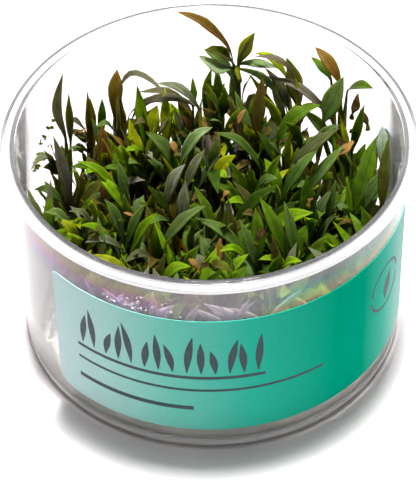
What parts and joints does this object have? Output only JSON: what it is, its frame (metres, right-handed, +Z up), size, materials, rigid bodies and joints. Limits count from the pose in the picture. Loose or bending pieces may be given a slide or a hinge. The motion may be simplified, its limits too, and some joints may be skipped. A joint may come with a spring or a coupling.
{
  "type": "potted culture cup of young water trumpet plants",
  "caption": "Open clear round cup with a wrap-around label, a layer of nutrient gel and a dense mass of young narrow-leaved water plants growing from the gel.",
  "frame": {"origin": "centre of the cup's underside, on the surface it stands on", "axes": "+Z up along the cup's axis; -Y faces the viewer, where the label's middle is; +X is to the viewer's right"},
  "size_m": [0.102, 0.102, 0.063],
  "materials": {
    "cup_plastic": "clear, glossy",
    "label_paper": "satin printed film",
    "gel": "wet, cloudy",
    "leaves": "waxy leaf"
  },
  "bodies": {
    "root": {"cup": "cup_plastic", "label": "label_paper", "gel": "gel", "plantlet_01": "leaves", "plantlet_02": "leaves", "plantlet_03": "leaves", "plantlet_04": "leaves", "plantlet_05": "leaves", "plantlet_06": "leaves", "plantlet_07": "leaves", "plantlet_08": "leaves", "plantlet_09": "leaves", "plantlet_10": "leaves", "plantlet_11": "leaves", "plantlet_12": "leaves", "plantlet_13": "leaves", "plantlet_14": "leaves", "plantlet_15": "leaves", "plantlet_16": "leaves", "plantlet_17": "leaves", "plantlet_18": "leaves", "plantlet_19": "leaves", "plantlet_20": "leaves", "plantlet_21": "leaves", "plantlet_22": "leaves", "plantlet_23": "leaves", "plantlet_24": "leaves", "plantlet_25": "leaves", "plantlet_26": "leaves", "plantlet_27": "leaves", "plantlet_28": "leaves", "plantlet_29": "leaves", "plantlet_30": "leaves", "plantlet_31": "leaves", "plantlet_32": "leaves", "plantlet_33": "leaves", "plantlet_34": "leaves", "plantlet_35": "leaves", "plantlet_36": "leaves", "plantlet_37": "leaves", "plantlet_38": "leaves", "plantlet_39": "leaves", "plantlet_40": "leaves", "plantlet_41": "leaves", "plantlet_42": "leaves", "plantlet_43": "leaves", "plantlet_44": "leaves", "plantlet_45": "leaves", "plantlet_46": "leaves", "plantlet_47": "leaves", "plantlet_48": "leaves", "plantlet_49": "leaves", "plantlet_50": "leaves", "plantlet_51": "leaves", "plantlet_52": "leaves", "plantlet_53": "leaves", "plantlet_54": "leaves", "plantlet_55": "leaves", "plantlet_56": "leaves", "plantlet_57": "leaves"}
  },
  "joints": []
}
